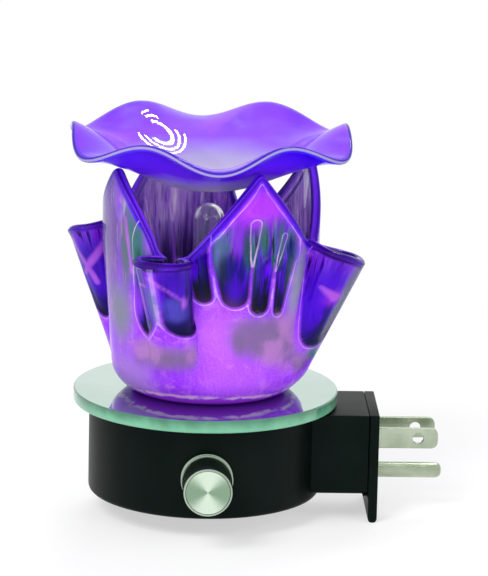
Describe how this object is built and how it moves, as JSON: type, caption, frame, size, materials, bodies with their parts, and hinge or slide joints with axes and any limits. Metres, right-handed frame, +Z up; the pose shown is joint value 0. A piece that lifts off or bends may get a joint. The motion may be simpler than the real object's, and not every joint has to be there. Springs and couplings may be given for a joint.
{
  "type": "electric oil warmer",
  "caption": "Plug-in electric oil warmer: a ruffled glass dish on a folded violet glass shade over a bulb, on a round mirror and black drum with a dimmer knob and a wall plug arm.",
  "frame": {"origin": "on the wall face of the plug plate, midway between the two flat blades", "axes": "+X out of the wall plate along the blades into the outlet, +Y towards the back of the drum, away from the knob, +Z up"},
  "size_m": [0.1164, 0.0975, 0.1203],
  "materials": {
    "black_plastic": "satin moulded",
    "steel": "zinc plated",
    "adhesive": "foam adhesive",
    "mirror_glass": "silvered back, green ground edge",
    "inner_plastic": "moulded",
    "plated_brass": "nickel plated",
    "knob_metal": "turned",
    "knob_face": "spun",
    "board": "laminate",
    "film": "dipped",
    "line_jacket": "insulated wire",
    "lamp_jacket": "insulated wire",
    "neutral_jacket": "insulated wire",
    "ground_jacket": "insulated wire",
    "ceramic": "unglazed",
    "bulb_glass": "clear",
    "tungsten": "dark wire",
    "shade_glass": "violet art glass, streaked, fire polished",
    "dish_glass": "violet glass, fire polished"
  },
  "bodies": {
    "base": {"base_housing": "black_plastic", "bottom_cover": "black_plastic", "plug_plate": "black_plastic", "cover_screw_1": "steel", "cover_screw_2": "steel", "cover_screw_3": "steel", "cover_screw_4": "steel", "mirror_pad": "adhesive", "mirror_disc": "mirror_glass", "blade_retainer": "inner_plastic", "line_blade": "plated_brass", "neutral_blade": "plated_brass", "ground_pin": "plated_brass", "dimmer_control": "inner_plastic", "dimmer_bushing": "plated_brass", "dimmer_washer": "steel", "dimmer_nut": "steel", "dimmer_board": "board", "triac": "inner_plastic", "timing_capacitor": "film", "line_lead": "line_jacket", "lamp_lead": "lamp_jacket", "neutral_lead": "neutral_jacket", "ground_lead": "ground_jacket", "lamp_holder": "ceramic", "holder_bracket": "steel", "holder_screw_left": "steel", "holder_screw_right": "steel", "lamp_contact_left": "plated_brass", "lamp_contact_right": "plated_brass"},
    "knob": {"knob_body": "knob_metal", "knob_cap": "knob_face", "dimmer_shaft": "steel"},
    "bulb": {"bulb_envelope": "bulb_glass", "bulb_pinch": "bulb_glass", "bulb_pin_left": "plated_brass", "bulb_pin_right": "plated_brass", "filament": "tungsten"},
    "shade": {"glass_shade": "shade_glass"},
    "dish": {"oil_dish": "dish_glass"}
  },
  "joints": [
    {"name": "knob_turn", "type": "hinge", "parent": "base", "child": "knob", "pos_m": [-0.0528, -0.0365, -0.005], "axis": [0, -1, 0], "range_deg": [-140, 140]},
    {"name": "shade_lift", "type": "slide", "parent": "base", "child": "shade", "axis": [0, 0, 1], "range_m": [0, 0.07]},
    {"name": "dish_lift", "type": "slide", "parent": "shade", "child": "dish", "axis": [0, 0, 1], "range_m": [0, 0.04]},
    {"name": "bulb_pull", "type": "slide", "parent": "base", "child": "bulb", "axis": [0, 0, 1], "range_m": [0, 0.0048]}
  ]
}
